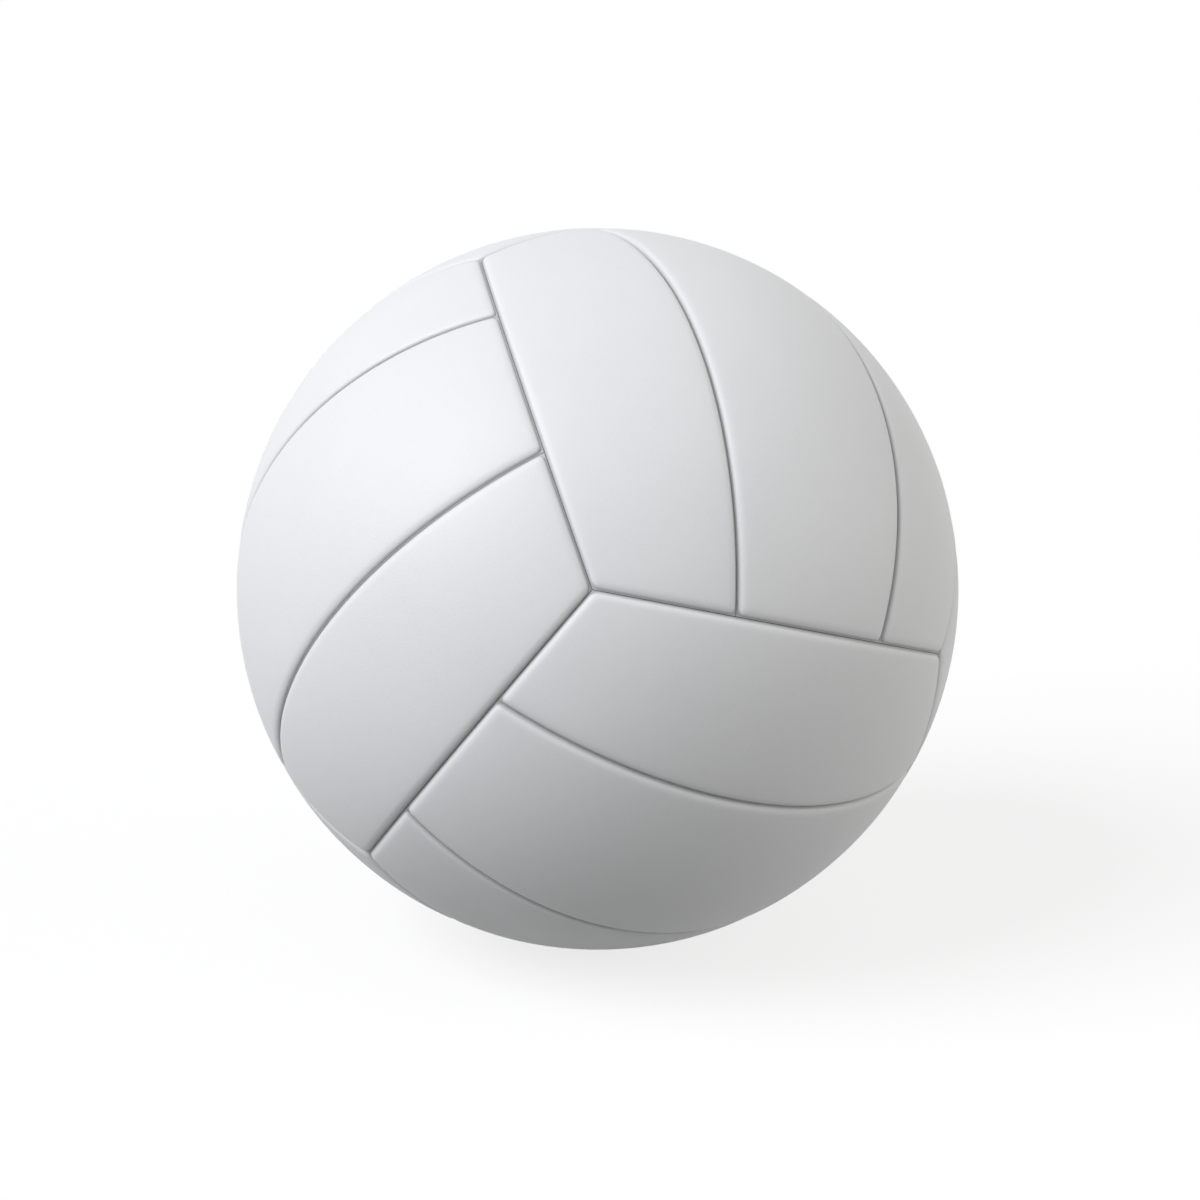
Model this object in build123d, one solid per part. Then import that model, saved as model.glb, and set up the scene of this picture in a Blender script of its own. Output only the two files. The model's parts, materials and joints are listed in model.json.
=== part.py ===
from build123d import *
import math
import os

# A plain eighteen-panel volleyball, in millimetres, with +Z up and the origin at the ball's centre.
# The cover follows a cube swollen into a ball: each of its six faces carries three parallel strips, which
# end against the long side of a strip on the next face. Each strip is a skin of synthetic leather on a
# foam backing. Below them lie a rubber coat, a thread winding and the bladder, which holds the valve.

# Cover
ball_diameter = 210.0
skin_thickness = 1.5
foam_thickness = 2.0
centre_strip_middle_width = 63.0  # over the surface, half-way along the strip
centre_strip_end_width = 50.2  # over the surface, where the strip ends
seam_gap = 0.2  # between two skins, at the bottom of the seam
skin_corner_radius = 2.5
skin_edge_radius = 1.2
most_edge_share = 0.8  # of the skin's thickness, for its rounded edge

# Layers under the cover
glue_film = 0.15
rubber_coat_thickness = 0.5
winding_thickness = 0.4
bladder_thickness = 0.6

# Valve plug: a rubber pin with a hole for the pump's needle, and below the hole a slit that stays shut
plug_shank_radius = 3.0
plug_shank_length = 16.0
plug_tip_chamfer = 0.8
plug_clearance = 0.08  # to the seat, along the shank and at both ends
plug_head_overhang = 1.5  # beyond the shank
plug_head_recess = 0.25  # below the skin
plug_head_clearance = 0.25  # to the hole in the skin
plug_slit_length = 6.8
needle_hole_radius = 1.2
needle_funnel = 0.6

# Valve seat: bonded to the inside of the bladder, with its neck up through the layers
seat_neck_wall = 2.4
seat_neck_clearance = 0.2
seat_boss_wall = 3.4
seat_floor_thickness = 1.5
seat_flange_width = 10.5  # beyond the boss
seat_flange_thickness = 1.2
needle_way_clearance = 0.4  # in the seat's floor, around the needle

# Lie of the ball: one corner of the cube looks to the front, and the first edge from it leans to the left
corner_elevation = 15.0  # degrees above level
first_edge_lean = 19.5  # degrees from upright


def height_on_ball(radius, reach):
    """Height of a ball's surface over its centre, at this reach from the upright axis."""
    return math.sqrt(radius**2 - reach**2)


# Radii of the layers, from the outside inwards
ball_radius = ball_diameter / 2
skin_inner = ball_radius - skin_thickness
foam_outer = skin_inner - glue_film
foam_inner = foam_outer - foam_thickness
coat_outer = foam_inner - glue_film
coat_inner = coat_outer - rubber_coat_thickness
winding_outer = coat_inner - glue_film
winding_inner = winding_outer - winding_thickness
bladder_outer = winding_inner - glue_film
bladder_inner = bladder_outer - bladder_thickness
flange_outer = bladder_inner - glue_film
flange_inner = flange_outer - seat_flange_thickness

# Radii and heights of the valve, which stands on +Z in the frame of its panel
plug_head_radius = plug_shank_radius + plug_head_overhang
seat_bore = plug_shank_radius + plug_clearance
seat_neck_radius = seat_bore + seat_neck_wall
seat_boss_radius = seat_bore + seat_boss_wall
seat_flange_radius = seat_boss_radius + seat_flange_width
needle_way_radius = needle_hole_radius + needle_way_clearance
neck_top = height_on_ball(foam_outer, seat_neck_radius)
plug_head_bottom = neck_top + plug_clearance
plug_tip = plug_head_bottom - plug_shank_length
needle_hole_bottom = plug_tip + plug_slit_length
seat_shoulder = plug_tip - plug_clearance
seat_bottom = seat_shoulder - seat_floor_thickness

CENTRE = Vector(0, 0, 0)
FACE_WITH_VALVE = "back_top"
EDGES_AT_CORNER = 3


def ball(radius):
    """A solid ball with its poles along X, so that neither they nor its seam lie on a strip around +Z."""
    return Sphere(radius, rotation=(0, 90, 0))


def end_walls():
    """Planes through the cube's edges at both ends of every strip, facing into the strip."""
    return [Plane(CENTRE, z_dir=(side, 0, 1)) for side in (1, -1)]


def long_edge_wall():
    """Plane through the cube's edge along the outer side strip, facing into that strip."""
    return Plane(CENTRE, z_dir=(0, -1, 1))


def seam_wall(side):
    """Plane of the seam between the centre strip and the strip on this side, facing the centre strip."""
    middle_half_angle = centre_strip_middle_width / ball_diameter
    end_half_angle = centre_strip_end_width / ball_diameter
    middle = Vector(0, side * math.sin(middle_half_angle), math.cos(middle_half_angle)) * ball_radius
    end = Vector(0, side * math.sin(end_half_angle), math.cos(end_half_angle) / math.sqrt(2)) * ball_radius
    along = Vector(side, 0, 0)
    return Plane(middle, x_dir=along, z_dir=(end - middle).cross(along))


def centre_walls():
    """All four walls of a centre strip."""
    return end_walls() + [seam_wall(1), seam_wall(-1)]


def side_walls():
    """All four walls of an outer side strip."""
    return end_walls() + [-seam_wall(1), long_edge_wall()]


def strip(outer_radius, inner_radius, walls):
    """The piece of a hollow ball inside these walls, half a seam gap clear of each."""
    piece = ball(outer_radius) - ball(inner_radius)
    for wall in walls:
        piece = split(piece, bisect_by=wall.offset(seam_gap / 2), keep=Keep.TOP)
    return piece


def skin(walls):
    """A strip of the leather skin, with rounded corners and a rounded outer edge."""
    piece = strip(ball_radius, skin_inner, walls)
    piece = fillet(piece.edges().filter_by(GeomType.LINE), skin_corner_radius)
    outer_face = piece.faces().filter_by(GeomType.SPHERE).sort_by(SortBy.AREA)[-1]
    return fillet(outer_face.edges(), min(skin_edge_radius, skin_thickness * most_edge_share))


def foam(walls):
    """A strip of the foam backing."""
    return strip(foam_outer, foam_inner, walls)


def valve_hole(radius):
    """What a drill on the valve's axis takes out of a layer."""
    return Cylinder(radius, ball_radius, align=(Align.CENTER, Align.CENTER, Align.MIN))


def layer(outer_radius, inner_radius):
    """A closed layer of the ball with a hole for the neck of the valve seat."""
    return ball(outer_radius) - ball(inner_radius) - valve_hole(seat_neck_radius + seat_neck_clearance)


def arc_on_ball(radius, start_reach, end_reach):
    """Arc of a ball's outline, between two reaches from the valve's axis."""
    reaches = (start_reach, (start_reach + end_reach) / 2, end_reach)
    return ThreePointArc(*[(reach, height_on_ball(radius, reach)) for reach in reaches])


def turned(*outline):
    """The solid of a closed outline, in reaches and heights, in a full turn about the valve's axis."""
    return revolve(Plane.XZ * make_face(Curve() + list(outline)), Axis.Z)


def valve_seat():
    """Moulded rubber seat: a neck, a flange under the bladder and a boss, bored for the plug."""
    flange_top = arc_on_ball(flange_outer, seat_neck_radius, seat_flange_radius)
    flange_under = arc_on_ball(flange_inner, seat_flange_radius, seat_boss_radius)
    return turned(
        Polyline((seat_bore, neck_top), (seat_neck_radius, neck_top), flange_top @ 0),
        flange_top,
        Line(flange_top @ 1, flange_under @ 0),
        flange_under,
        Polyline(
            flange_under @ 1,
            (seat_boss_radius, seat_bottom),
            (needle_way_radius, seat_bottom),
            (needle_way_radius, seat_shoulder),
            (seat_bore, seat_shoulder),
            (seat_bore, neck_top),
        ),
    )


def valve_plug():
    """Rubber plug: a domed head and a shank, with the needle's hole down to the shut slit."""
    dome = arc_on_ball(ball_radius - plug_head_recess, needle_hole_radius + needle_funnel, plug_head_radius)
    return turned(
        dome,
        Polyline(
            dome @ 1,
            (plug_head_radius, plug_head_bottom),
            (plug_shank_radius, plug_head_bottom),
            (plug_shank_radius, plug_tip + plug_tip_chamfer),
            (plug_shank_radius - plug_tip_chamfer, plug_tip),
            (0, plug_tip),
            (0, needle_hole_bottom),
            (needle_hole_radius, needle_hole_bottom),
            (needle_hole_radius, (dome @ 0).Y - needle_funnel),
            dome @ 0,
        ),
    )


def cube_axes():
    """Outward directions of the three cube faces around the corner that looks to the front."""
    rise = math.radians(corner_elevation)
    corner = Vector(0, -math.cos(rise), math.sin(rise))
    upright = Vector(0, math.sin(rise), math.cos(rise))
    axes = []
    for step in range(EDGES_AT_CORNER):
        turn = first_edge_lean + step * 360 / EDGES_AT_CORNER
        edge = upright.rotate(Axis(CENTRE, corner), turn)
        axes.append(corner / math.sqrt(3) - edge * math.sqrt(2 / 3))
    return axes


def face_frames():
    """Frame of each cube face: X along its strips and Z outwards, with its corner strip on the -Y side."""
    bottom, top, left = cube_axes()
    return {
        "front_bottom": Plane(CENTRE, x_dir=left, z_dir=bottom),
        "front_top": Plane(CENTRE, x_dir=bottom, z_dir=top),
        "front_left": Plane(CENTRE, x_dir=top, z_dir=left),
        "back_top": Plane(CENTRE, x_dir=left, z_dir=-bottom),
        "back_bottom": Plane(CENTRE, x_dir=bottom, z_dir=-top),
        "back_right": Plane(CENTRE, x_dir=top, z_dir=-left),
    }


def cover_nodes(name, centre, side, hole_radius):
    """The eighteen strips of one layer of the cover in their places, one of them with the valve's hole."""
    nodes = {}
    for face, frame in face_frames().items():
        middle = centre - valve_hole(hole_radius) if face == FACE_WITH_VALVE else centre
        nodes[f"{name}_{face}_corner"] = frame * Rotation(0, 0, 180) * side
        nodes[f"{name}_{face}_centre"] = frame * middle
        nodes[f"{name}_{face}_outer"] = frame * side
    return nodes


def inner_nodes():
    """The layers under the cover and the valve, in their places."""
    frame = face_frames()[FACE_WITH_VALVE]
    return {
        "rubber_coat": frame * layer(coat_outer, coat_inner),
        "thread_winding": frame * layer(winding_outer, winding_inner),
        "bladder": frame * layer(bladder_outer, bladder_inner),
        "valve_seat": frame * valve_seat(),
        "valve_plug": frame * valve_plug(),
    }


nodes = {
    **cover_nodes("panel", skin(centre_walls()), skin(side_walls()), plug_head_radius + plug_head_clearance),
    **cover_nodes("foam", foam(centre_walls()), foam(side_walls()), seat_neck_radius + seat_neck_clearance),
    **inner_nodes(),
}
os.makedirs("parts", exist_ok=True)
for node, piece in nodes.items():
    export_step(piece, f"parts/{node}.step")
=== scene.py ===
import bmesh
import bpy
import json
import math
from mathutils import Matrix, Vector


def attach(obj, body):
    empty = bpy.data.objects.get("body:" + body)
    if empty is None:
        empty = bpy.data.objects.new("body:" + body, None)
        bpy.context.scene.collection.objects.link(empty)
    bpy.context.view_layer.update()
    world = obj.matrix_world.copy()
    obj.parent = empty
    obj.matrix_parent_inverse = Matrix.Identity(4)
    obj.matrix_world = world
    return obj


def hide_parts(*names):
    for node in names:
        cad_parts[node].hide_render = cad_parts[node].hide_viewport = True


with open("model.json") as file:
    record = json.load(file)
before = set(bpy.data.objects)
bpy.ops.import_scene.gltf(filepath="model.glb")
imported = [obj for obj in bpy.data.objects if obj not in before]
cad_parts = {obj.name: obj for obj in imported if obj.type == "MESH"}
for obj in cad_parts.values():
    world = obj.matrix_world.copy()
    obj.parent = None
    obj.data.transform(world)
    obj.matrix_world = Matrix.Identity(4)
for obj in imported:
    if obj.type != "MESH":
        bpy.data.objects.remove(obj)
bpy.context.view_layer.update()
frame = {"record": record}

# A plain white volleyball, in metres, with +Z up and the origin at the ball's centre.
# On each cube face of the cover, longitude runs along the strips and latitude across them.
# The valve stands on +Z in the frame of its cube face, and a reach is a distance from its axis.

# Ball and cover
floor_rest = next(mount for mount in frame["record"]["mounts"] if mount["name"] == "floor_rest")
BALL_RADIUS = -floor_rest["pos_m"][2]
SKIN_THICKNESS = 0.0015
FOAM_THICKNESS = 0.002
HALF_SEAM_GAP = 0.0001
CENTRE_STRIP_MIDDLE_WIDTH = 0.063  # over the surface, half-way along the strip
CENTRE_STRIP_END_WIDTH = 0.0502  # over the surface, where the strip ends

# Lie of the ball: one corner of the cube looks to the front, and the first edge from it leans to the left
CORNER_ELEVATION = math.radians(15)
FIRST_EDGE_LEAN = math.radians(19.5)

# Edge of a panel: a soft shoulder, a roll down into the seam, and a thin lip at the bottom of the seam
SHOULDER_WIDTH = 0.008
SHOULDER_DEPTH = 0.00015
ROLL_WIDTH = 0.0024
ROLL_DEPTH = 0.0012
LIP_WIDTH = 0.0003
CORNER_SQUARENESS = 3  # the power of the curve round a corner, where 2 is a circle

# Layers under the cover
GLUE_FILM = 0.00015
COAT_THICKNESS = 0.0005
WINDING_THICKNESS = 0.0004
BLADDER_THICKNESS = 0.0006
MOULD_RIDGE_WIDTH = 0.0016
MOULD_RIDGE_HEIGHT = 0.0001

# Winding: the turns of a thread sway between steep and flat, each a little further round than the last
THREAD_RADIUS = 0.00015
THREAD_TURNS = 240
STEPS_PER_TURN = 96
TURN_SHIFT = math.radians(5.24)
TURNS_PER_SWAY = 11.09
STEEPEST_TURN = math.radians(86)
FLATTEST_TURN = math.radians(20)

# Valve plug
PLUG_SHANK_RADIUS = 0.003
PLUG_SHANK_LENGTH = 0.016
PLUG_TIP_CHAMFER = 0.0008
PLUG_CLEARANCE = 0.00008
PLUG_HEAD_RADIUS = 0.0045
PLUG_HEAD_RECESS = 0.00025
PLUG_HEAD_CLEARANCE = 0.00025
PLUG_SLIT_LENGTH = 0.0068
NEEDLE_HOLE_RADIUS = 0.0012
NEEDLE_FUNNEL = 0.0006
RIM_RADIUS = 0.00035

# Valve seat and the holes around it
SEAT_NECK_WALL = 0.0024
SEAT_NECK_CLEARANCE = 0.0002
SEAT_BOSS_WALL = 0.0034
SEAT_FLOOR_THICKNESS = 0.0015
SEAT_FLANGE_WIDTH = 0.0105
SEAT_FLANGE_THICKNESS = 0.0012
NEEDLE_WAY_CLEARANCE = 0.0004
HOLE_ROLL_WIDTH = 0.0006
HOLE_ROLL_DEPTH = 0.0004

# Meshes
ALONG_SEGMENTS = 72
ACROSS_SEGMENTS = 44
SETTLING_ROUNDS = 4  # in which a place's longitude and latitude are fitted to each other
NEARLY_ALL = 0.9999  # of the way from the middle of a sheet to its edge
HOLE_BLOCK = 0.012  # half the side of the square that gives way to rings round the valve
HOLE_RINGS = 8
HOLE_RINGS_WIDTH = 0.006
VALVE_SEGMENTS = 64
LAYER_SEGMENTS = 128
ARC_STEP = math.radians(2)
RIM_SEGMENTS = 4
MERGE_DISTANCE = 1e-7
SHARP_ANGLE = math.radians(40)

# Map of a strip, for baking its finish: the outer side, and below it the inner side with the walls laid out
# round it. Both are given by their middle and half their size on the map.
BAKE_MAP = "OFBake"
OUTER_SIDE_ON_MAP = ((0.5, 0.68), (0.49, 0.31))
INNER_SIDE_ON_MAP = ((0.5, 0.17), (-0.47, 0.15))  # turned over, as it is seen from inside
WALL_STRETCH = 1.04  # of the inner side's edge, for the other edge of the walls
HOLE_WALL_STRETCH = 0.6  # the same at the valve's hole, where the wall is laid inwards
HOLE_ZONE = 0.5  # of a strip's half length and width, inside which an edge is the hole's

# Patterns in the finishes: a cloudy mottle, and pebbled cells with creases between them
MOTTLE_DETAIL = 4
MOTTLE_ROUGHNESS = 0.55
MOTTLE_RANGE = (0.3, 0.7)
PEBBLE_SWAY = 0.0004
PEBBLE_SWAY_DETAIL = 1
PEBBLE_DOME_WIDTH = 0.35  # as a share of a cell's size
PEBBLE_CREASE_WIDTH = 0.12  # as a share of a cell's size

# Finishes: shades and roughness go from one end of the mottle to the other. Clouds and grains are so many to
# the metre. A bump has a strength and a depth, and a crease shade, painted shade in the grain's creases, has
# a colour and the share of it.
LEATHER = dict(
    shades=((0.845, 0.85, 0.85), (0.87, 0.875, 0.875)),
    roughness=(0.46, 0.56),
    clouds=28,
    grains=1300,
    bump=(0.25, 0.00006),
    # Painted shade in the creases between the leather's grain cells
    crease_shade=((0.6, 0.6, 0.6), 0.1),
)
FOAM = dict(
    shades=((0.84, 0.8, 0.7), (0.9, 0.87, 0.78)),
    roughness=(0.85, 0.95),
    clouds=60,
    grains=2200,
    bump=(0.5, 0.0001),
    # Painted shade in the creases between the foam's cells
    crease_shade=((0.55, 0.5, 0.4), 0.3),
)
THREAD = dict(
    shades=((0.76, 0.73, 0.64), (0.86, 0.84, 0.77)),
    roughness=(0.75, 0.9),
    clouds=400,
    grains=7000,
    bump=(0.4, 0.00003),
)
RUBBER = dict(clouds=90, bump=(0.15, 0.00004))
COAT_RUBBER = dict(
    **RUBBER, shades=((0.13, 0.13, 0.14), (0.2, 0.2, 0.21)), roughness=(0.65, 0.8), grains=900
)
BLADDER_RUBBER = dict(
    **RUBBER, shades=((0.05, 0.05, 0.055), (0.1, 0.1, 0.105)), roughness=(0.4, 0.55), grains=500
)
VALVE_RUBBER = dict(
    **RUBBER, shades=((0.07, 0.07, 0.075), (0.12, 0.12, 0.125)), roughness=(0.45, 0.6), grains=2500
)
# Dust and painted shade down in the seams: a grey that darkens the seams' bottoms, partly dirt and partly
# shade
SEAM_DUST_AND_SHADE_COLOUR = (0.3, 0.3, 0.3)
SEAM_DUST_AND_SHADE_SHARE = 0.5
SEAM_DUST_AND_SHADE_WIDTH = 0.0007

# Places of a Mix node's colour sockets, whose names are those of its other sockets too
MIX_COLOURS = (6, 7)
MIX_RESULT = 2

# Camera and light
CAMERA_AZIMUTH = math.radians(0.82)
CAMERA_ELEVATION = math.radians(15.13)
CAMERA_DISTANCE = 0.9012
CAMERA_LENS = 92.3
SENSOR_WIDTH = 36
IMAGE_SIDE = 1200
BALL_CENTRE_IN_IMAGE = (597.6, 588.8)
KEY_DIRECTION = Vector((-0.663, -0.383, 0.643))
KEY_ANGLE = math.radians(40)
KEY_STRENGTH = 2.49
KEY_COLOUR = (0.94, 0.95, 1.0)
FILL_DIRECTION = Vector((0.996, -0.087, 0.017))
FILL_ANGLE = math.radians(60)
FILL_STRENGTH = 1.48
FILL_COLOUR = (1.0, 0.98, 0.96)
SKY_STRENGTH = 0.322
FLOOR_SIZE = 30
FLOOR_COLOUR = (0.25, 0.25, 0.245)
FLOOR_GLOW = 0.785


def height_on_ball(radius, reach):
    """Height of a ball's surface at a reach from the valve's axis."""
    return math.sqrt(radius**2 - reach**2)


# Radii of the layers, from the outside inwards
SKIN_INNER = BALL_RADIUS - SKIN_THICKNESS
FOAM_OUTER = SKIN_INNER - GLUE_FILM
FOAM_INNER = FOAM_OUTER - FOAM_THICKNESS
COAT_OUTER = FOAM_INNER - GLUE_FILM
COAT_INNER = COAT_OUTER - COAT_THICKNESS
WINDING_OUTER = COAT_INNER - GLUE_FILM
WINDING_INNER = WINDING_OUTER - WINDING_THICKNESS
BLADDER_OUTER = WINDING_INNER - GLUE_FILM
BLADDER_INNER = BLADDER_OUTER - BLADDER_THICKNESS
FLANGE_OUTER = BLADDER_INNER - GLUE_FILM
FLANGE_INNER = FLANGE_OUTER - SEAT_FLANGE_THICKNESS

# Radii and heights of the valve
SEAT_BORE = PLUG_SHANK_RADIUS + PLUG_CLEARANCE
SEAT_NECK_RADIUS = SEAT_BORE + SEAT_NECK_WALL
SEAT_BOSS_RADIUS = SEAT_BORE + SEAT_BOSS_WALL
SEAT_FLANGE_RADIUS = SEAT_BOSS_RADIUS + SEAT_FLANGE_WIDTH
NEEDLE_WAY_RADIUS = NEEDLE_HOLE_RADIUS + NEEDLE_WAY_CLEARANCE
SKIN_HOLE_RADIUS = PLUG_HEAD_RADIUS + PLUG_HEAD_CLEARANCE
LAYER_HOLE_RADIUS = SEAT_NECK_RADIUS + SEAT_NECK_CLEARANCE
NECK_TOP = height_on_ball(FOAM_OUTER, SEAT_NECK_RADIUS)
PLUG_HEAD_BOTTOM = NECK_TOP + PLUG_CLEARANCE
PLUG_HEAD_TOP = BALL_RADIUS - PLUG_HEAD_RECESS
PLUG_TIP = PLUG_HEAD_BOTTOM - PLUG_SHANK_LENGTH
NEEDLE_HOLE_BOTTOM = PLUG_TIP + PLUG_SLIT_LENGTH
SEAT_SHOULDER = PLUG_TIP - PLUG_CLEARANCE
SEAT_BOTTOM = SEAT_SHOULDER - SEAT_FLOOR_THICKNESS

# Each edge of a strip as two latitudes: half-way along the strip, and where it ends
END_LONGITUDE = math.radians(45)
HALF_LENGTH = BALL_RADIUS * END_LONGITUDE
SEAM = (CENTRE_STRIP_MIDDLE_WIDTH / BALL_RADIUS / 2, CENTRE_STRIP_END_WIDTH / BALL_RADIUS / 2)
CUBE_EDGE = (END_LONGITUDE, math.atan(math.cos(END_LONGITUDE)))
SEAM_BELOW = (-SEAM[0], -SEAM[1])
CUBE_EDGE_BELOW = (-CUBE_EDGE[0], -CUBE_EDGE[1])
STRIPS = {
    "corner": (CUBE_EDGE_BELOW, SEAM_BELOW),
    "centre": (SEAM_BELOW, SEAM),
    "outer": (SEAM, CUBE_EDGE),
}
FACE_WITH_VALVE = "back_top"
EDGES_AT_CORNER = 3


def cube_axes():
    """Outward directions of the three cube faces around the corner that looks to the front."""
    corner = Vector((0, -math.cos(CORNER_ELEVATION), math.sin(CORNER_ELEVATION)))
    upright = Vector((0, math.sin(CORNER_ELEVATION), math.cos(CORNER_ELEVATION)))
    axes = []
    for step in range(EDGES_AT_CORNER):
        turn = Matrix.Rotation(FIRST_EDGE_LEAN + step * math.tau / EDGES_AT_CORNER, 3, corner)
        axes.append(corner / math.sqrt(3) - turn @ upright * math.sqrt(2 / 3))
    return axes


def face_matrix(along, outward):
    """Matrix of a cube face's frame: X along its strips and Z outwards."""
    return Matrix((along, outward.cross(along), outward)).transposed().to_4x4()


def face_matrices():
    """Frame of each cube face by name."""
    bottom, top, left = cube_axes()
    return {
        "front_bottom": face_matrix(left, bottom),
        "front_top": face_matrix(bottom, top),
        "front_left": face_matrix(top, left),
        "back_top": face_matrix(left, -bottom),
        "back_bottom": face_matrix(bottom, -top),
        "back_right": face_matrix(top, -left),
    }


def edge_latitude(edge, longitude):
    """Latitude at which a strip's edge crosses this longitude. The edge lies in a plane along the strip."""
    at_middle, at_end = edge
    end_height = math.cos(at_end) * math.cos(END_LONGITUDE)
    slope = (math.sin(at_middle) - math.sin(at_end)) / (math.cos(at_middle) - end_height)
    level = math.sin(at_middle) - slope * math.cos(at_middle)
    lean = slope * math.cos(longitude)
    return math.atan(lean) + math.asin(level / math.hypot(1, lean))


def middle_and_reach(edges, longitude):
    """Middle latitude of a strip at this longitude, and how far the strip goes to both sides of it."""
    low, high = (edge_latitude(edge, longitude) for edge in edges)
    return (low + high) / 2, (high - low) / 2


def square_corner(from_end, from_side):
    """Distances from a strip's end and side as they are, and from its edge."""
    return from_end, from_side, min(from_end, from_side)


def rolled_corner(from_end, from_side):
    """Distances from a strip's end and side, drawn in where the roll goes round a corner, and the distance
    up the roll from its foot."""
    if max(from_end, from_side) >= ROLL_WIDTH:
        return square_corner(from_end, from_side)
    end_share = 1 - from_end / ROLL_WIDTH
    side_share = 1 - from_side / ROLL_WIDTH
    power = CORNER_SQUARENESS
    drawn_end = end_share * (1 - side_share**power / 2) ** (1 / power)
    drawn_side = side_share * (1 - end_share**power / 2) ** (1 / power)
    up_the_roll = ROLL_WIDTH * (1 - (drawn_end**power + drawn_side**power) ** (1 / power))
    return ROLL_WIDTH * (1 - drawn_end), ROLL_WIDTH * (1 - drawn_side), max(0, up_the_roll)


def place_on_strip(edges, along, across, margin, corner):
    """Direction from the ball's centre to a place on a strip, and the distance of that place from the
    strip's edge. The place is given as shares of the strip's half length and half width. The strip ends
    a margin short of its seams, and a function shapes its corners."""
    middle, reach = middle_and_reach(edges, along * END_LONGITUDE)
    latitude = middle + across * reach
    from_end = max(0, 1 - abs(along)) * (HALF_LENGTH * math.cos(latitude) - margin)
    from_side = max(0, 1 - abs(across)) * (BALL_RADIUS * reach - margin)
    from_end, from_side, from_edge = corner(from_end, from_side)
    for _ in range(SETTLING_ROUNDS):
        short_of_end = (from_end + margin) / (BALL_RADIUS * math.cos(latitude))
        longitude = math.copysign(max(0, END_LONGITUDE - short_of_end), along)
        middle, reach = middle_and_reach(edges, longitude)
        short_of_side = (from_side + margin) / BALL_RADIUS
        latitude = middle + math.copysign(max(0, reach - short_of_side), across)
    level = math.cos(latitude)
    direction = Vector((level * math.sin(longitude), math.sin(latitude), level * math.cos(longitude)))
    return direction, from_edge


def roll(distance, width, depth):
    """How far a rounded edge of this width and depth has dropped at a distance from it."""
    out = min(1, max(0, 1 - distance / width))
    return depth * (1 - math.sqrt(1 - out**2))


def skin_drop(from_edge, from_hole):
    """How far the skin lies below the ball's radius at these distances from its edge and from the valve."""
    shoulder = SHOULDER_DEPTH * max(0, 1 - from_edge / SHOULDER_WIDTH) ** 2
    edge = roll(from_edge, ROLL_WIDTH, ROLL_DEPTH)
    return shoulder + edge + roll(from_hole, HOLE_ROLL_WIDTH, HOLE_ROLL_DEPTH)


def drawn_to_ends(share):
    """A share from -1 to 1, moved so that evenly spaced shares lie closer together towards both ends."""
    return math.copysign(1 - (1 - abs(share)) ** 2, share)


def open_valve_hole(bm, hole_radius):
    """Cuts a round hole into the middle of a flat sheet, with rings of faces that narrow towards it."""
    block = [f for f in bm.faces if max(abs(c) for c in f.calc_center_median()) < HOLE_BLOCK]
    bmesh.ops.delete(bm, geom=block, context="FACES")
    rim = [e for e in bm.edges if e.is_boundary and max(v.co.length for v in e.verts) < 2 * HOLE_BLOCK]
    bmesh.ops.create_circle(bm, radius=hole_radius + HOLE_RINGS_WIDTH, segments=VALVE_SEGMENTS)
    ring = [e for e in bm.edges if e.is_wire]
    bmesh.ops.bridge_loops(bm, edges=rim + ring)
    for number in range(1, HOLE_RINGS + 1):
        spread = HOLE_RINGS_WIDTH * (1 - number / HOLE_RINGS) ** 3
        made = bmesh.ops.extrude_edge_only(bm, edges=ring)["geom"]
        verts = [g for g in made if isinstance(g, bmesh.types.BMVert)]
        ring = [g for g in made if isinstance(g, bmesh.types.BMEdge) and all(v in verts for v in g.verts)]
        for vert in verts:
            vert.co = vert.co.normalized() * (hole_radius + spread)


def add_lip(bm, half_width):
    """Doubles the outer edge of a flat sheet, for a lip that is opened later, and gives its vertices."""
    def on_edge(vert):
        return max(abs(vert.co.x) / HALF_LENGTH, abs(vert.co.y) / half_width) > NEARLY_ALL

    outline = [edge for edge in bm.edges if edge.is_boundary and all(on_edge(vert) for vert in edge.verts)]
    made = bmesh.ops.extrude_edge_only(bm, edges=outline)["geom"]
    return {vert for vert in made if isinstance(vert, bmesh.types.BMVert)}


def finished_mesh(bm, name, sharp_angle=SHARP_ANGLE):
    """A mesh from a finished bmesh, shaded smooth up to its sharp edges."""
    mesh = bpy.data.meshes.new(name)
    bm.to_mesh(mesh)
    bm.free()
    mesh.shade_smooth()
    mesh.set_sharp_from_angle(angle=sharp_angle)
    return mesh


def lay_out_map(bm, layer, edges, inner_verts):
    """Gives the corners of a strip's faces their places on its map."""
    low, high = min(edges[0]), max(edges[1])
    for face in bm.faces:
        is_outer = inner_verts.isdisjoint(face.verts)
        middle, half_size = OUTER_SIDE_ON_MAP if is_outer else INNER_SIDE_ON_MAP
        for loop in face.loops:
            place = loop.vert.co
            along = math.atan2(place.x, place.z) / END_LONGITUDE
            across = (2 * math.asin(place.y / place.length) - low - high) / (high - low)
            stretch = 1
            if not is_outer and loop.vert not in inner_verts:
                in_hole = max(abs(along), abs(across)) < HOLE_ZONE
                stretch = HOLE_WALL_STRETCH if in_hole else WALL_STRETCH
            loop[layer].uv = (
                middle[0] + half_size[0] * along * stretch,
                middle[1] + half_size[1] * across * stretch,
            )


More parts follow.
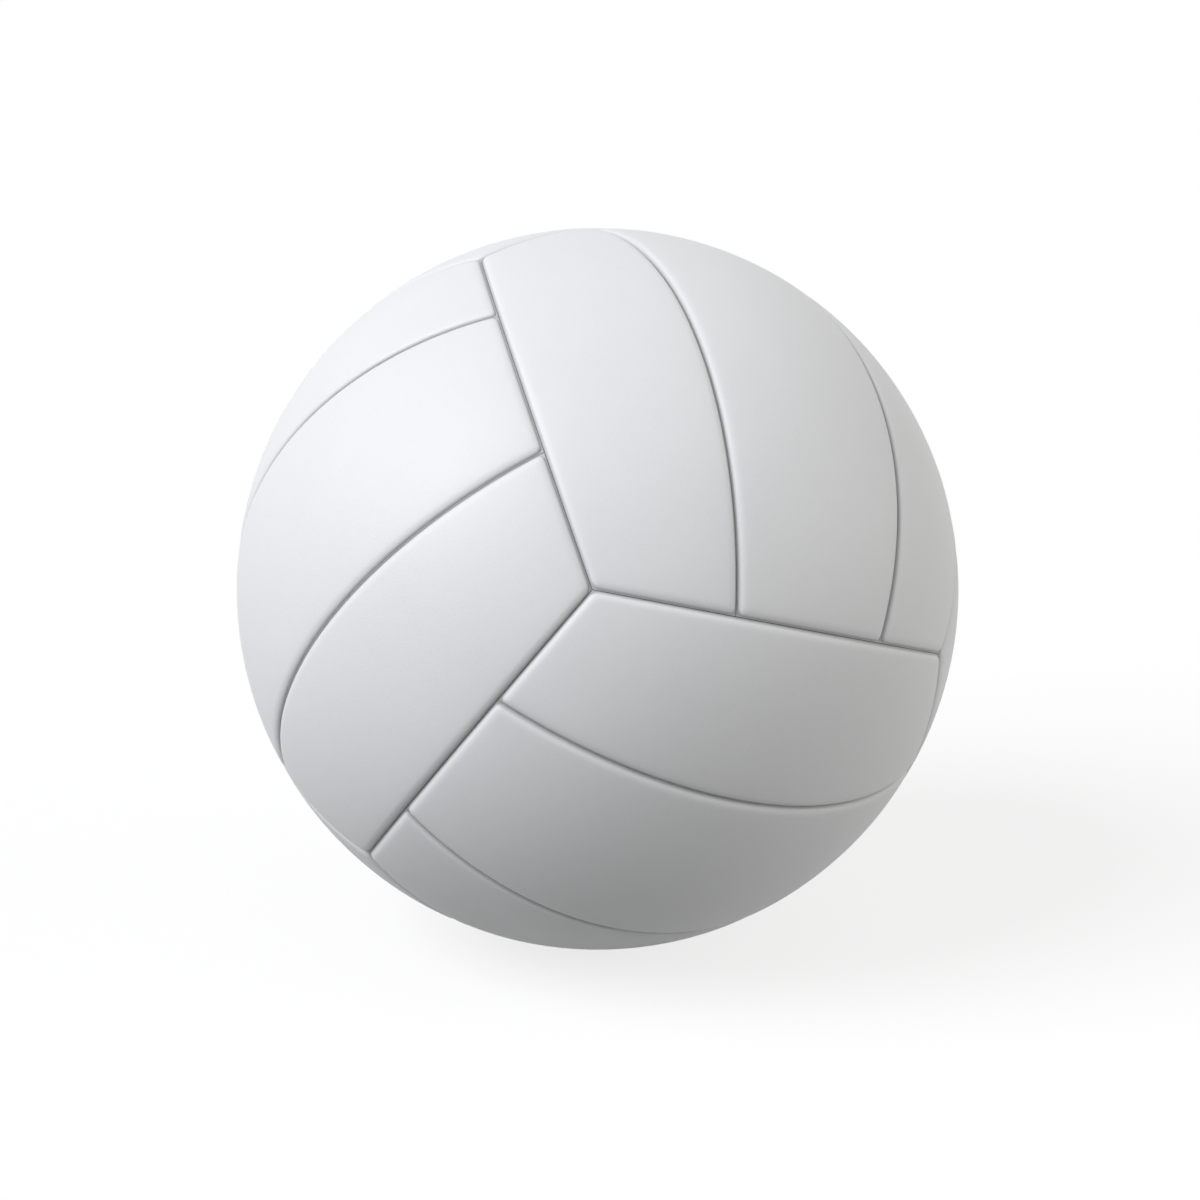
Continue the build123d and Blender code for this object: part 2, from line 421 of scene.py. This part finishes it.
def strip_mesh(name, edges, outer_radius, inner_radius, rolled, hole_radius=None):
    """A closed strip of one layer of the cover, in the frame of its cube face. A rolled one is a skin."""
    half_width = BALL_RADIUS * middle_and_reach(edges, 0)[1]
    bm = bmesh.new()
    bmesh.ops.create_grid(bm, x_segments=ALONG_SEGMENTS, y_segments=ACROSS_SEGMENTS, size=1)
    for vert in bm.verts:
        vert.co.x = HALF_LENGTH * drawn_to_ends(vert.co.x)
        vert.co.y = half_width * drawn_to_ends(vert.co.y)
    if hole_radius:
        open_valve_hole(bm, hole_radius)
    seam_distance = bm.verts.layers.float.new("from_seam")
    bake_map = bm.loops.layers.uv.new(BAKE_MAP)
    lip = add_lip(bm, half_width) if rolled else set()
    for vert in bm.verts:
        on_roll = rolled and vert not in lip
        margin = HALF_SEAM_GAP + LIP_WIDTH if on_roll else HALF_SEAM_GAP
        corner = rolled_corner if on_roll else square_corner
        from_hole = vert.co.length - hole_radius if hole_radius else BALL_RADIUS
        along, across = vert.co.x / HALF_LENGTH, vert.co.y / half_width
        direction, from_edge = place_on_strip(edges, along, across, margin, corner)
        drop = skin_drop(from_edge, from_hole) if rolled else 0
        vert.co = direction * (outer_radius - drop)
        vert[seam_distance] = from_edge
    made = bmesh.ops.extrude_face_region(bm, geom=bm.faces[:], use_keep_orig=True)["geom"]
    inner_verts = {vert for vert in made if isinstance(vert, bmesh.types.BMVert)}
    for vert in inner_verts:
        vert.co = vert.co.normalized() * inner_radius
    bmesh.ops.recalc_face_normals(bm, faces=bm.faces[:])
    lay_out_map(bm, bake_map, edges, inner_verts)
    return finished_mesh(bm, name)


def add_piece(mesh, node, body, material):
    """A piece that stands for a node and rides with its body."""
    mesh.materials.append(material)
    piece = bpy.data.objects.new(mesh.name, mesh)
    bpy.context.scene.collection.objects.link(piece)
    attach(piece, body)
    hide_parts(node)
    return piece


def cover_layer(layer, suffix, slot, material, hole_radius, **sizes):
    """All eighteen strips of one layer of the cover."""
    plain = {place: strip_mesh(place, edges, **sizes) for place, edges in STRIPS.items()}
    with_hole = strip_mesh("with_hole", STRIPS["centre"], hole_radius=hole_radius, **sizes)
    pieces = []
    for face, matrix in face_matrices().items():
        for place in STRIPS:
            holed = face == FACE_WITH_VALVE and place == "centre"
            mesh = (with_hole if holed else plain[place]).copy()
            mesh.transform(matrix)
            node = f"{layer}_{face}_{place}"
            mesh.name = f"{node}_{suffix}"
            pieces.append(add_piece(mesh, node, "ball", material))
    return pieces


def angle_on_ball(radius, reach):
    """Angle from the valve's axis at which a ball's surface has this reach."""
    return math.asin(reach / radius)


def arc_on_ball(radius, start, end):
    """Reaches and heights along a ball's outline, between two angles from the valve's axis."""
    steps = math.ceil(abs(end - start) / ARC_STEP)
    angles = [start + (end - start) * step / steps for step in range(steps + 1)]
    return [(radius * math.sin(angle), radius * math.cos(angle)) for angle in angles]


def turned_mesh(name, outline, segments, eased=(), closed=False):
    """An outline of reaches and heights in a full turn about the valve's axis, with some of its points
    eased. A closed outline goes back to its start, and an open one starts and ends on the axis."""
    bm = bmesh.new()
    verts = [bm.verts.new((reach, 0, height)) for reach, height in outline]
    ends = verts[1:] + verts[:1] if closed else verts[1:]
    for start, end in zip(verts, ends):
        bm.edges.new((start, end))
    rims = [vert for vert, point in zip(verts, outline) if point in eased]
    bmesh.ops.bevel(
        bm, geom=rims, offset=RIM_RADIUS, segments=RIM_SEGMENTS, profile=0.5, affect="VERTICES", material=-1
    )
    bmesh.ops.spin(
        bm, geom=bm.verts[:] + bm.edges[:], cent=(0, 0, 0), axis=(0, 0, 1), angle=math.tau,
        steps=segments, use_merge=True,
    )
    bmesh.ops.remove_doubles(bm, verts=bm.verts[:], dist=MERGE_DISTANCE)
    bmesh.ops.recalc_face_normals(bm, faces=bm.faces[:])
    mesh = finished_mesh(bm, name)
    mesh.transform(face_matrices()[FACE_WITH_VALVE])
    return mesh


def layer_mesh(name, outer_radius, inner_radius):
    """A closed layer of rubber, with a hole for the valve and a mould ridge half-way round from it."""
    ridge = MOULD_RIDGE_WIDTH / outer_radius / 2
    outline = [
        *arc_on_ball(outer_radius, math.pi, math.pi / 2 + ridge),
        (outer_radius + MOULD_RIDGE_HEIGHT, 0),
        *arc_on_ball(outer_radius, math.pi / 2 - ridge, angle_on_ball(outer_radius, LAYER_HOLE_RADIUS)),
        *arc_on_ball(inner_radius, angle_on_ball(inner_radius, LAYER_HOLE_RADIUS), math.pi),
    ]
    return turned_mesh(name, outline, LAYER_SEGMENTS)


def seat_mesh():
    """The valve seat: a neck, a flange under the bladder and a boss, bored for the plug."""
    flange_top = arc_on_ball(
        FLANGE_OUTER,
        angle_on_ball(FLANGE_OUTER, SEAT_NECK_RADIUS),
        angle_on_ball(FLANGE_OUTER, SEAT_FLANGE_RADIUS),
    )
    flange_under = arc_on_ball(
        FLANGE_INNER,
        angle_on_ball(FLANGE_INNER, SEAT_FLANGE_RADIUS),
        angle_on_ball(FLANGE_INNER, SEAT_BOSS_RADIUS),
    )
    neck_rims = [(SEAT_BORE, NECK_TOP), (SEAT_NECK_RADIUS, NECK_TOP)]
    boss_rim = (SEAT_BOSS_RADIUS, SEAT_BOTTOM)
    outline = [
        *neck_rims,
        *flange_top,
        *flange_under,
        boss_rim,
        (NEEDLE_WAY_RADIUS, SEAT_BOTTOM),
        (NEEDLE_WAY_RADIUS, SEAT_SHOULDER),
        (SEAT_BORE, SEAT_SHOULDER),
    ]
    eased = [*neck_rims, flange_top[-1], flange_under[0], boss_rim]
    return turned_mesh("valve_seat_rubber", outline, VALVE_SEGMENTS, eased, closed=True)


def plug_mesh():
    """The valve plug: a domed head and a shank, with the needle's hole down to the shut slit."""
    mouth_reach = NEEDLE_HOLE_RADIUS + NEEDLE_FUNNEL
    mouth = (mouth_reach, height_on_ball(PLUG_HEAD_TOP, mouth_reach))
    funnel_foot = (NEEDLE_HOLE_RADIUS, mouth[1] - NEEDLE_FUNNEL)
    head_rim = (PLUG_HEAD_RADIUS, height_on_ball(PLUG_HEAD_TOP, PLUG_HEAD_RADIUS))
    chamfer_top = (PLUG_SHANK_RADIUS, PLUG_TIP + PLUG_TIP_CHAMFER)
    chamfer_foot = (PLUG_SHANK_RADIUS - PLUG_TIP_CHAMFER, PLUG_TIP)
    outline = [
        (0, NEEDLE_HOLE_BOTTOM),
        (NEEDLE_HOLE_RADIUS, NEEDLE_HOLE_BOTTOM),
        funnel_foot,
        mouth,
        head_rim,
        (PLUG_HEAD_RADIUS, PLUG_HEAD_BOTTOM),
        (PLUG_SHANK_RADIUS, PLUG_HEAD_BOTTOM),
        chamfer_top,
        chamfer_foot,
        (0, PLUG_TIP),
    ]
    eased = [funnel_foot, mouth, head_rim, chamfer_top, chamfer_foot]
    return turned_mesh("valve_plug_rubber", outline, VALVE_SEGMENTS, eased)


def thread_place(turns):
    """Where the thread lies after this many turns. The steepest ones pass close to the valve. The straight
    steps sag below the arc, so their ends stand half the sag above it."""
    steep = abs(2 * (turns / TURNS_PER_SWAY % 1) - 1)
    tilt = math.acos(math.cos(STEEPEST_TURN) * steep + math.cos(FLATTEST_TURN) * (1 - steep))
    lean = Matrix.Rotation(turns * TURN_SHIFT, 3, "Z") @ Matrix.Rotation(tilt, 3, "X")
    angle = turns * math.tau
    sag = 1 - math.cos(math.pi / STEPS_PER_TURN)
    radius = (WINDING_OUTER + WINDING_INNER) / 2 * (1 + sag / 2)
    return lean @ Vector((math.cos(angle), math.sin(angle), 0)) * radius


def winding_mesh():
    """The winding: one unbroken thread in many turns round the bladder, clear of the valve."""
    curve = bpy.data.curves.new("thread", "CURVE")
    curve.dimensions = "3D"
    curve.bevel_depth = THREAD_RADIUS
    curve.bevel_resolution = 0
    curve.use_fill_caps = True
    line = curve.splines.new("POLY")
    line.points.add(THREAD_TURNS * STEPS_PER_TURN)
    for step, point in enumerate(line.points):
        point.co = (*thread_place(step / STEPS_PER_TURN), 1)
    thread = bpy.data.objects.new("thread", curve)
    tube = bpy.data.meshes.new_from_object(thread)
    bm = bmesh.new()
    bm.from_mesh(tube)
    bpy.data.objects.remove(thread)
    bmesh.ops.remove_doubles(bm, verts=bm.verts[:], dist=MERGE_DISTANCE)
    bmesh.ops.recalc_face_normals(bm, faces=bm.faces[:])
    mesh = finished_mesh(bm, "thread_winding_thread", sharp_angle=math.pi)
    mesh.transform(face_matrices()[FACE_WITH_VALVE])
    return mesh


def add_node(tree, kind, **settings):
    """A new node with these settings."""
    node = tree.nodes.new(kind)
    for name, value in settings.items():
        setattr(node, name, value)
    return node


def connect(tree, socket, source):
    """Links an output to an input, or sets a plain value on it."""
    if isinstance(source, bpy.types.NodeSocket):
        tree.links.new(source, socket)
    else:
        socket.default_value = source


def feed(tree, node, **sources):
    """Connects outputs or plain values to a node's inputs, by names that have _ for a space."""
    for name, source in sources.items():
        connect(tree, node.inputs[name.replace("_", " ")], source)
    return node


def feed_in_order(tree, node, *sources):
    """Connects outputs or plain values to a node's first inputs."""
    for socket, source in zip(node.inputs, sources):
        connect(tree, socket, source)
    return node


def new_group(name, inputs, outputs):
    """An empty shader node group with sockets of these kinds, and its two end nodes."""
    tree = bpy.data.node_groups.new(name, "ShaderNodeTree")
    for in_out, sockets in (("INPUT", inputs), ("OUTPUT", outputs)):
        for socket, kind in sockets.items():
            tree.interface.new_socket(socket, in_out=in_out, socket_type=f"NodeSocket{kind}")
    return tree, add_node(tree, "NodeGroupInput").outputs, add_node(tree, "NodeGroupOutput")


def ranged(tree, value, given=(0, 1), wanted=(0, 1), **settings):
    """A value moved from one range to another, and kept inside it."""
    node = add_node(tree, "ShaderNodeMapRange", clamp=True, **settings)
    feed(tree, node, Value=value, From_Min=given[0], From_Max=given[1], To_Min=wanted[0], To_Max=wanted[1])
    return node.outputs["Result"]


def mottle_group():
    """Soft cloudy unevenness, from 0 to 1."""
    tree, given, out = new_group("mottle", {"Vector": "Vector", "Scale": "Float"}, {"Shade": "Float"})
    clouds = add_node(tree, "ShaderNodeTexNoise")
    feed(tree, clouds, Vector=given["Vector"], Scale=given["Scale"])
    feed(tree, clouds, Detail=MOTTLE_DETAIL, Roughness=MOTTLE_ROUGHNESS)
    feed(tree, out, Shade=ranged(tree, clouds.outputs["Fac"], given=MOTTLE_RANGE))
    return tree


def pebble_group():
    """Height of a fine pebbled grain with rounded cells, and the creases between them."""
    tree, given, out = new_group(
        "pebble_grain", {"Vector": "Vector", "Scale": "Float"}, {"Height": "Float", "Crease": "Float"}
    )
    sway = add_node(tree, "ShaderNodeTexNoise")
    feed(tree, sway, Vector=given["Vector"], Scale=given["Scale"], Detail=PEBBLE_SWAY_DETAIL)
    shift = add_node(tree, "ShaderNodeVectorMath", operation="SCALE")
    feed(tree, shift, Vector=sway.outputs["Color"], Scale=PEBBLE_SWAY)
    shifted = add_node(tree, "ShaderNodeVectorMath", operation="ADD")
    feed_in_order(tree, shifted, given["Vector"], shift.outputs["Vector"])
    cells = add_node(tree, "ShaderNodeTexVoronoi", feature="DISTANCE_TO_EDGE")
    feed(tree, cells, Vector=shifted.outputs["Vector"], Scale=given["Scale"])
    from_crease = cells.outputs["Distance"]
    dome = ranged(tree, from_crease, given=(0, PEBBLE_DOME_WIDTH), interpolation_type="SMOOTHSTEP")
    feed(tree, out, Height=dome, Crease=ranged(tree, from_crease, given=(PEBBLE_CREASE_WIDTH, 0)))
    return tree


def cleared_tree(owner):
    """The node tree of a new material or world, with nothing in it."""
    owner.use_nodes = True
    owner.node_tree.nodes.clear()
    return owner.node_tree


def use_group(tree, group, **sources):
    """A copy of a node group in a material, with its own values."""
    return feed(tree, add_node(tree, "ShaderNodeGroup", node_tree=group), **sources)


def blend_colours(tree, share, start, end):
    """Colour between another node's colour, or a plain one, and a plain one, by a share from 0 to 1."""
    mix = add_node(tree, "ShaderNodeMix", data_type="RGBA", clamp_factor=True)
    feed(tree, mix, Factor=share)
    for place, colour in zip(MIX_COLOURS, (start, end)):
        connect(tree, mix.inputs[place], (*colour, 1) if isinstance(colour, tuple) else colour)
    return mix.outputs[MIX_RESULT]


def dusted_and_shaded(tree, colour):
    """A panel's colour with dust and painted shade down in its seams."""
    from_seam = add_node(tree, "ShaderNodeAttribute", attribute_name="from_seam").outputs["Fac"]
    dust_and_shade = ranged(tree, from_seam, given=(SEAM_DUST_AND_SHADE_WIDTH, 0), wanted=(0, SEAM_DUST_AND_SHADE_SHARE))
    return blend_colours(tree, dust_and_shade, colour, SEAM_DUST_AND_SHADE_COLOUR)


def grained_material(
    name, mottle, pebble, shades, roughness, clouds, grains, bump, crease_shade=None, dusty_and_shaded=False
):
    """A finish with a cloudy mottle in its colour and gloss, and with a pebbled grain. A crease shade paints
    shade into the grain's creases, and a dusty and shaded finish gets dust and painted shade in its seams.
    """
    material = bpy.data.materials.new(name)
    tree = cleared_tree(material)
    place = add_node(tree, "ShaderNodeTexCoord").outputs["Object"]
    cloud = use_group(tree, mottle, Vector=place, Scale=clouds).outputs["Shade"]
    grain = use_group(tree, pebble, Vector=place, Scale=grains).outputs
    colour = blend_colours(tree, cloud, *shades)
    # Painted shade: the grain's creases are darkened towards the crease shade's colour
    if crease_shade:
        crease_shade_colour, share = crease_shade
        colour = blend_colours(tree, ranged(tree, grain["Crease"], wanted=(0, share)), colour, crease_shade_colour)
    # Dust and painted shade darken the bottoms of the seams
    if dusty_and_shaded:
        colour = dusted_and_shaded(tree, colour)
    strength, depth = bump
    relief = add_node(tree, "ShaderNodeBump")
    feed(tree, relief, Height=grain["Height"], Strength=strength, Distance=depth)
    shader = add_node(tree, "ShaderNodeBsdfPrincipled")
    feed(tree, shader, Base_Color=colour, Normal=relief.outputs["Normal"])
    feed(tree, shader, Roughness=ranged(tree, cloud, wanted=roughness))
    feed(tree, add_node(tree, "ShaderNodeOutputMaterial"), Surface=shader.outputs["BSDF"])
    return material


def sees_background(tree):
    """1 for rays from the camera, from gloss and through glass, and 0 for others."""
    rays = add_node(tree, "ShaderNodeLightPath").outputs
    total = rays["Is Camera Ray"]
    for kind in ("Is Glossy Ray", "Is Transmission Ray"):
        either = add_node(tree, "ShaderNodeMath", operation="MAXIMUM")
        total = feed_in_order(tree, either, total, rays[kind]).outputs["Value"]
    return total


def white_sky():
    """A white surround that lights the ball evenly and shows as plain white."""
    world = bpy.data.worlds.new("white_sky")
    bpy.context.scene.world = world
    tree = cleared_tree(world)
    sky = add_node(tree, "ShaderNodeBackground")
    strength = ranged(tree, sees_background(tree), wanted=(SKY_STRENGTH, 1))
    feed(tree, sky, Color=(1, 1, 1, 1), Strength=strength)
    feed(tree, add_node(tree, "ShaderNodeOutputWorld"), Surface=sky.outputs["Background"])


def floor_material():
    """Pale paint that shows white except in the ball's shadow."""
    material = bpy.data.materials.new("white_floor")
    tree = cleared_tree(material)
    paint = add_node(tree, "ShaderNodeBsdfDiffuse")
    feed(tree, paint, Color=(*FLOOR_COLOUR, 1))
    glow = add_node(tree, "ShaderNodeEmission")
    feed(tree, glow, Strength=ranged(tree, sees_background(tree), wanted=(0, FLOOR_GLOW)))
    both = add_node(tree, "ShaderNodeAddShader")
    feed_in_order(tree, both, paint.outputs["BSDF"], glow.outputs["Emission"])
    feed(tree, add_node(tree, "ShaderNodeOutputMaterial"), Surface=both.outputs["Shader"])
    return material


def white_floor():
    """A wide floor under the ball."""
    bm = bmesh.new()
    bmesh.ops.create_grid(bm, x_segments=1, y_segments=1, size=FLOOR_SIZE / 2)
    bmesh.ops.translate(bm, vec=(0, 0, -BALL_RADIUS), verts=bm.verts[:])
    mesh = bpy.data.meshes.new("floor")
    bm.to_mesh(mesh)
    bm.free()
    mesh.materials.append(floor_material())
    floor = bpy.data.objects.new("floor", mesh)
    bpy.context.scene.collection.objects.link(floor)


def soft_lamp(name, direction, angle, strength, colour):
    """A broad soft light from one side, as wide as this angle."""
    light = bpy.data.lights.new(name, "SUN")
    light.energy = strength
    light.angle = angle
    light.color = colour
    lamp = bpy.data.objects.new(name, light)
    lamp.rotation_euler = direction.to_track_quat("Z", "Y").to_euler()
    bpy.context.scene.collection.objects.link(lamp)


def add_camera():
    """The camera, where the photo's was, with the ball at the same place in the picture."""
    level = math.cos(CAMERA_ELEVATION)
    back = Vector(
        (math.sin(CAMERA_AZIMUTH) * level, -math.cos(CAMERA_AZIMUTH) * level, math.sin(CAMERA_ELEVATION))
    )
    data = bpy.data.cameras.new("camera")
    data.lens = CAMERA_LENS
    data.sensor_width = SENSOR_WIDTH
    data.shift_x = 0.5 - BALL_CENTRE_IN_IMAGE[0] / IMAGE_SIDE
    data.shift_y = BALL_CENTRE_IN_IMAGE[1] / IMAGE_SIDE - 0.5
    camera = bpy.data.objects.new("camera", data)
    camera.location = back * CAMERA_DISTANCE
    camera.rotation_euler = back.to_track_quat("Z", "Y").to_euler()
    bpy.context.scene.collection.objects.link(camera)
    bpy.context.scene.camera = camera


# Finishes
mottle = mottle_group()
pebble = pebble_group()
leather = grained_material("white_leather", mottle, pebble, **LEATHER, dusty_and_shaded=True)
foam = grained_material("cream_foam", mottle, pebble, **FOAM)
thread = grained_material("undyed_thread", mottle, pebble, **THREAD)
coat_rubber = grained_material("coat_rubber", mottle, pebble, **COAT_RUBBER)
bladder_rubber = grained_material("bladder_rubber", mottle, pebble, **BLADDER_RUBBER)
valve_rubber = grained_material("valve_rubber", mottle, pebble, **VALVE_RUBBER)

# Pieces, from the outside inwards
cover_layer(
    "panel", "skin", "cover_leather", leather, SKIN_HOLE_RADIUS,
    outer_radius=BALL_RADIUS, inner_radius=SKIN_INNER, rolled=True,
)
backing = cover_layer(
    "foam", "backing", "foam_backing", foam, LAYER_HOLE_RADIUS,
    outer_radius=FOAM_OUTER, inner_radius=FOAM_INNER, rolled=False,
)
coat = layer_mesh("rubber_coat_layer", COAT_OUTER, COAT_INNER)
add_piece(coat, "rubber_coat", "ball", coat_rubber)
add_piece(winding_mesh(), "thread_winding", "ball", thread)
bladder = layer_mesh("bladder_layer", BLADDER_OUTER, BLADDER_INNER)
add_piece(bladder, "bladder", "ball", bladder_rubber)
add_piece(seat_mesh(), "valve_seat", "ball", valve_rubber)
add_piece(plug_mesh(), "valve_plug", "valve_plug", valve_rubber)

# Surroundings
white_sky()
white_floor()
soft_lamp("key_light", KEY_DIRECTION, KEY_ANGLE, KEY_STRENGTH, KEY_COLOUR)
soft_lamp("fill_light", FILL_DIRECTION, FILL_ANGLE, FILL_STRENGTH, FILL_COLOUR)
add_camera()
bpy.context.scene.view_settings.view_transform = "Standard"
